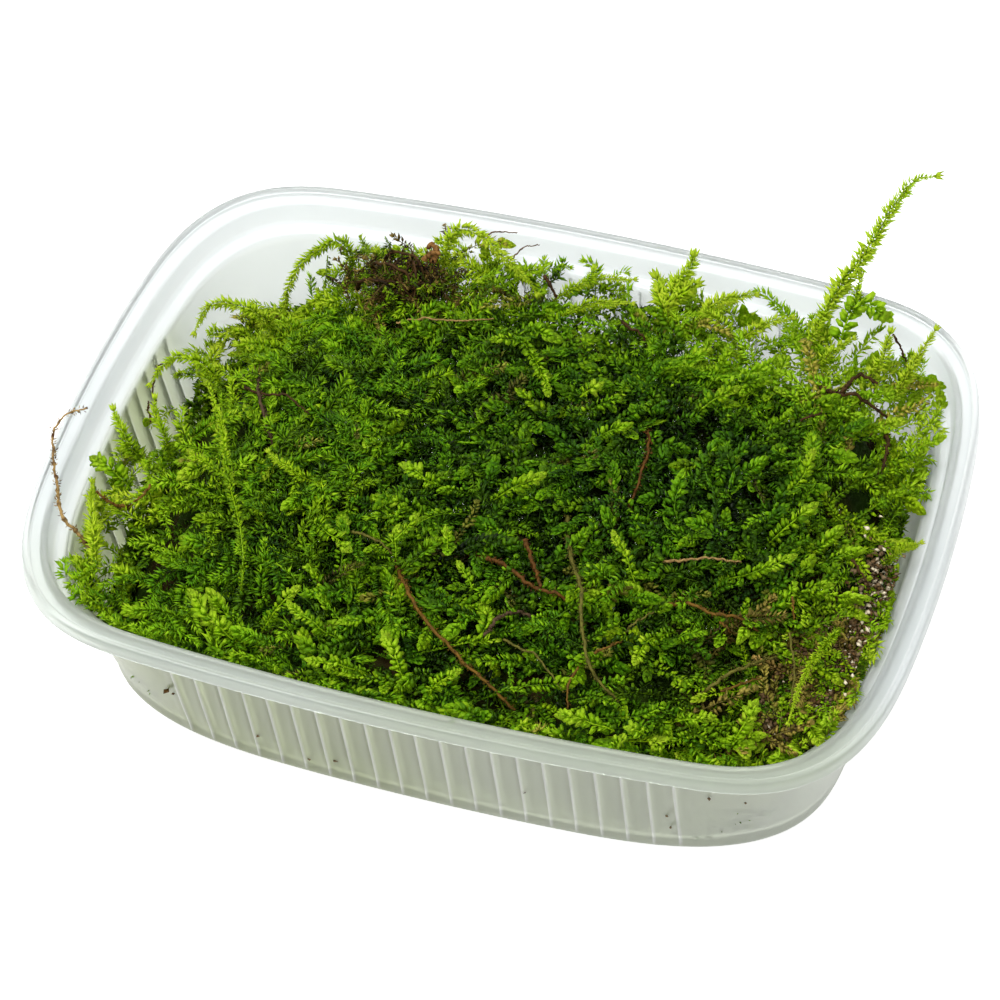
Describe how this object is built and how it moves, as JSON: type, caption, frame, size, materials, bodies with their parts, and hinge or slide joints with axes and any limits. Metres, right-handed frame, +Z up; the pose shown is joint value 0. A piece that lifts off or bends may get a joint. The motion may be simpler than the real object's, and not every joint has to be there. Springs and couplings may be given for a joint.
{
  "type": "potted moss",
  "caption": "Shallow milky plastic tub heaped with feathery bogor moss, with stray shoots, bare stems, roots and a litter patch on top of the heap.",
  "frame": {"origin": "middle of the tub's flat underside", "axes": "+Z up out of the tub, +X along the tub's long side to the right, -Y out of its front long side"},
  "size_m": [0.108, 0.0823, 0.0448],
  "materials": {
    "milky_plastic": "smooth, milky, half see-through",
    "moss_heap": "wet, deep green",
    "leaf_green": "satin leaf",
    "pale_green": "satin leaf, lit tips",
    "dark_root": "matte, peaty",
    "tan_root": "satin",
    "orange_stem": "satin",
    "red_stem": "satin",
    "purple_stem": "satin",
    "olive_stem": "satin",
    "litter": "matte litter with pale grains"
  },
  "bodies": {
    "root": {"tub": "milky_plastic", "moss_heap": "moss_heap", "litter_patch": "litter", "root_clump": "dark_root", "overhanging_root": "tan_root", "tall_shoot": "pale_green", "knot_shoot": "leaf_green", "hanging_branch": "leaf_green", "right_tuft": "pale_green", "brown_tipped_shoot": "leaf_green", "right_edge_shoot": "leaf_green", "right_low_shoot": "leaf_green", "hooked_tuft": "leaf_green", "back_arch": "pale_green", "back_high_frond": "leaf_green", "back_low_frond": "leaf_green", "back_right_frond": "pale_green", "back_right_bough": "leaf_green", "back_left_arch": "leaf_green", "left_upper_arch": "pale_green", "left_lower_arch": "leaf_green", "left_spruce_shoot": "leaf_green", "left_round_tip": "leaf_green", "left_wall_frond": "pale_green", "left_standing_shoot": "leaf_green", "long_pale_frond": "pale_green", "upper_left_sprig": "pale_green", "left_centre_sprig": "leaf_green", "front_left_tip": "pale_green", "front_left_fan": "leaf_green", "front_left_spray": "leaf_green", "front_left_low": "pale_green", "front_sprig_left": "pale_green", "front_sprig_mid": "pale_green", "centre_round_tip": "pale_green", "centre_spray": "leaf_green", "upper_centre_frond": "leaf_green", "centre_leaf_spray": "leaf_green", "centre_right_spray": "leaf_green", "right_spray": "leaf_green", "right_round_tip": "pale_green", "centre_blue_sprig": "leaf_green", "right_long_spray": "leaf_green", "front_slim_sprig": "pale_green", "front_curled_spray": "leaf_green", "long_bright_frond": "pale_green", "front_right_tip": "pale_green", "orange_stem": "orange_stem", "red_stem": "red_stem", "crossing_stem": "purple_stem", "standing_stem": "olive_stem", "brown_stem": "orange_stem", "olive_stem": "olive_stem", "back_red_stem": "red_stem", "upper_left_stem": "purple_stem", "dark_twig": "dark_root", "right_twig": "dark_root", "left_stalk": "orange_stem"}
  },
  "joints": []
}
